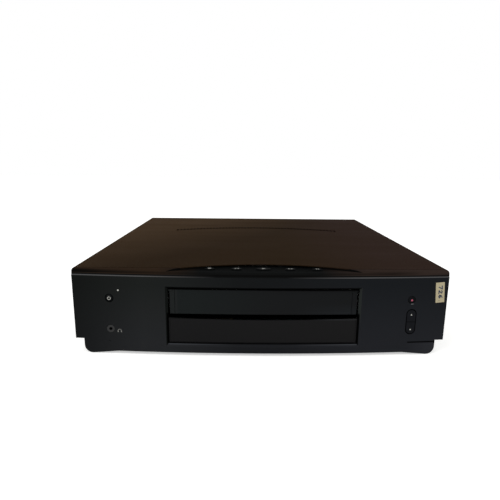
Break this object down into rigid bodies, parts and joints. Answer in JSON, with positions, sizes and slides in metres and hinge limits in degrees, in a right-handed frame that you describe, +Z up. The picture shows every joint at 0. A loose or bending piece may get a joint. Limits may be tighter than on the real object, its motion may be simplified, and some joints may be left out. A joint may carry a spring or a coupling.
{
  "type": "video cassette recorder",
  "caption": "Front-loading video cassette recorder with a bowed front, hinged cassette flap, sprung buttons on a shelf, a sliding cassette lift and a full tape transport.",
  "frame": {"origin": "on the floor under the middle of the recorder's box", "axes": "+Z up, the front looks towards -Y, +X to the right seen from the front"},
  "size_m": [0.383, 0.3908, 0.0898],
  "materials": {
    "black_sheet": "satin enamel",
    "black_plastic": "fine moulded grain",
    "smoked_window": "polished smoked acrylic",
    "button_plastic": "satin moulded",
    "zinc_steel": "zinc plated",
    "polished_metal": "machined and polished",
    "grey_plastic": "moulded",
    "white_acetal": "moulded",
    "foot_rubber": "matte",
    "circuit_board": "paper laminate",
    "brass_contacts": "plated",
    "clear_glass": "clear"
  },
  "bodies": {
    "cabinet": {"front_bezel": "black_plastic", "top_cover": "black_sheet", "bottom_pan": "zinc_steel", "rear_panel": "black_sheet", "foot_front_left": "foot_rubber", "foot_front_right": "foot_rubber", "foot_rear_left": "foot_rubber", "foot_rear_right": "foot_rubber", "cover_screw_left": "zinc_steel", "cover_screw_right": "zinc_steel", "display_window": "smoked_window", "display_tube": "clear_glass", "control_board": "circuit_board", "key_board": "circuit_board", "headphone_jack": "grey_plastic", "mains_inlet": "black_plastic", "scart_socket_1": "black_plastic", "scart_socket_2": "black_plastic", "tuner_can": "zinc_steel", "audio_jacks": "brass_contacts", "main_board": "circuit_board", "transformer": "zinc_steel", "capacitor": "button_plastic", "heat_sink": "polished_metal", "deck_plate": "zinc_steel", "side_frame_left": "zinc_steel", "side_frame_right": "zinc_steel", "lower_drum": "polished_metal", "capstan_motor": "grey_plastic", "erase_head": "polished_metal", "audio_control_head": "polished_metal", "loading_motor": "zinc_steel", "tape_end_lamp": "clear_glass", "drive_belt": "foot_rubber", "flap_spring": "zinc_steel"},
    "flap": {"cassette_flap": "black_plastic"},
    "stop_key": {"stop_button": "button_plastic"},
    "rewind_key": {"rewind_button": "button_plastic"},
    "play_key": {"play_button": "button_plastic"},
    "forward_key": {"forward_button": "button_plastic"},
    "pause_key": {"pause_button": "button_plastic"},
    "standby_key": {"standby_button": "button_plastic"},
    "record_key": {"record_button": "button_plastic"},
    "rocker": {"channel_rocker": "button_plastic"},
    "carriage": {"loading_carriage": "zinc_steel"},
    "holder": {"cassette_holder": "zinc_steel"},
    "head_drum": {"upper_drum": "polished_metal"},
    "capstan_shaft": {"capstan": "polished_metal"},
    "pinch_lever": {"pinch_arm": "zinc_steel"},
    "roller": {"pinch_roller": "foot_rubber"},
    "supply_reel": {"supply_reel_table": "grey_plastic"},
    "take_up_reel": {"take_up_reel_table": "grey_plastic"},
    "idler_lever": {"idler_arm": "zinc_steel"},
    "idler": {"idler_gear": "white_acetal"},
    "tension_lever": {"tension_arm": "polished_metal"},
    "left_guide": {"guide_left": "polished_metal"},
    "right_guide": {"guide_right": "polished_metal"},
    "pinion": {"motor_pinion": "brass_contacts"},
    "mode_wheel": {"mode_gear": "white_acetal"},
    "clutch": {"clutch_pulley": "grey_plastic"}
  },
  "joints": [
    {"name": "flap_hinge", "type": "hinge", "parent": "cabinet", "child": "flap", "pos_m": [0.0024, -0.18955, 0.0685], "axis": [1, 0, 0], "range_deg": [0, 90], "stiffness_Nm_per_rad": 0.01, "springref_deg": -14.32},
    {"name": "stop_press", "type": "slide", "parent": "cabinet", "child": "stop_key", "axis": [0, 0, -1], "range_m": [0, 0.001], "stiffness_N_per_m": 300},
    {"name": "rewind_press", "type": "slide", "parent": "cabinet", "child": "rewind_key", "axis": [0, 0, -1], "range_m": [0, 0.001], "stiffness_N_per_m": 300},
    {"name": "play_press", "type": "slide", "parent": "cabinet", "child": "play_key", "axis": [0, 0, -1], "range_m": [0, 0.001], "stiffness_N_per_m": 300},
    {"name": "forward_press", "type": "slide", "parent": "cabinet", "child": "forward_key", "axis": [0, 0, -1], "range_m": [0, 0.001], "stiffness_N_per_m": 300},
    {"name": "pause_press", "type": "slide", "parent": "cabinet", "child": "pause_key", "axis": [0, 0, -1], "range_m": [0, 0.001], "stiffness_N_per_m": 300},
    {"name": "standby_press", "type": "slide", "parent": "cabinet", "child": "standby_key", "axis": [0, 1, 0], "range_m": [0, 0.001], "stiffness_N_per_m": 300},
    {"name": "record_press", "type": "slide", "parent": "cabinet", "child": "record_key", "axis": [0, 1, 0], "range_m": [0, 0.001], "stiffness_N_per_m": 300},
    {"name": "channel_rock", "type": "hinge", "parent": "cabinet", "child": "rocker", "pos_m": [0.1535, -0.18426, 0.0362], "axis": [1, 0, 0], "range_deg": [-3, 3], "stiffness_Nm_per_rad": 0.05},
    {"name": "carriage_in", "type": "slide", "parent": "cabinet", "child": "carriage", "axis": [0, 1, 0], "range_m": [0, 0.06]},
    {"name": "holder_down", "type": "slide", "parent": "carriage", "child": "holder", "axis": [0, 0, -1], "range_m": [0, 0.018]},
    {"name": "drum_spin", "type": "hinge", "parent": "cabinet", "child": "head_drum", "pos_m": [0.0024, -0.0026, 0.021], "axis": [0, 0.0872, 0.9962], "continuous": true},
    {"name": "capstan_spin", "type": "hinge", "parent": "cabinet", "child": "capstan_shaft", "pos_m": [0.0644, -0.0366, 0.02], "axis": [0, 0, 1], "continuous": true},
    {"name": "clutch_spin", "type": "hinge", "parent": "cabinet", "child": "clutch", "pos_m": [0.0204, -0.0546, 0.012], "axis": [0, 0, 1], "continuous": true},
    {"name": "pinch_swing", "type": "hinge", "parent": "cabinet", "child": "pinch_lever", "pos_m": [0.0904, -0.0146, 0.02], "axis": [0, 0, 1], "range_deg": [0, 23], "stiffness_Nm_per_rad": 0.02, "springref_deg": -5.73},
    {"name": "pinch_roller_spin", "type": "hinge", "parent": "pinch_lever", "child": "roller", "pos_m": [0.06261, -0.01801, 0.03], "axis": [0, 0, 1], "continuous": true},
    {"name": "supply_spin", "type": "hinge", "parent": "cabinet", "child": "supply_reel", "pos_m": [-0.0436, -0.0996, 0.02], "axis": [0, 0, 1], "continuous": true},
    {"name": "take_up_spin", "type": "hinge", "parent": "cabinet", "child": "take_up_reel", "pos_m": [0.0484, -0.0996, 0.02], "axis": [0, 0, 1], "continuous": true},
    {"name": "idler_swing", "type": "hinge", "parent": "cabinet", "child": "idler_lever", "pos_m": [0.0024, -0.0696, 0.018], "axis": [0, 0, 1], "range_deg": [-9, 9]},
    {"name": "idler_spin", "type": "hinge", "parent": "idler_lever", "child": "idler", "pos_m": [0.0024, -0.0996, 0.02], "axis": [0, 0, 1], "continuous": true},
    {"name": "tension_swing", "type": "hinge", "parent": "cabinet", "child": "tension_lever", "pos_m": [-0.0756, -0.0346, 0.018], "axis": [0, 0, 1], "range_deg": [-12, 12], "stiffness_Nm_per_rad": 0.02},
    {"name": "guide_left_run", "type": "slide", "parent": "cabinet", "child": "left_guide", "axis": [-0.3022, 0.9532, 0], "range_m": [0, 0.042]},
    {"name": "guide_right_run", "type": "slide", "parent": "cabinet", "child": "right_guide", "axis": [0.3022, 0.9532, 0], "range_m": [0, 0.042]},
    {"name": "mode_gear_spin", "type": "hinge", "parent": "cabinet", "child": "mode_wheel", "pos_m": [-0.0736, 0.0164, 0.018], "axis": [0, 0, 1], "continuous": true},
    {"name": "motor_pinion_spin", "type": "hinge", "parent": "cabinet", "child": "pinion", "pos_m": [-0.0736, -0.0061, 0.018], "axis": [0, 0, 1], "continuous": true}
  ],
  "couplings": [
    {"joint": "guide_right_run", "follows": "guide_left_run", "ratio": 1},
    {"joint": "motor_pinion_spin", "follows": "mode_gear_spin", "ratio": -4},
    {"joint": "clutch_spin", "follows": "capstan_spin", "ratio": 0.85075}
  ]
}
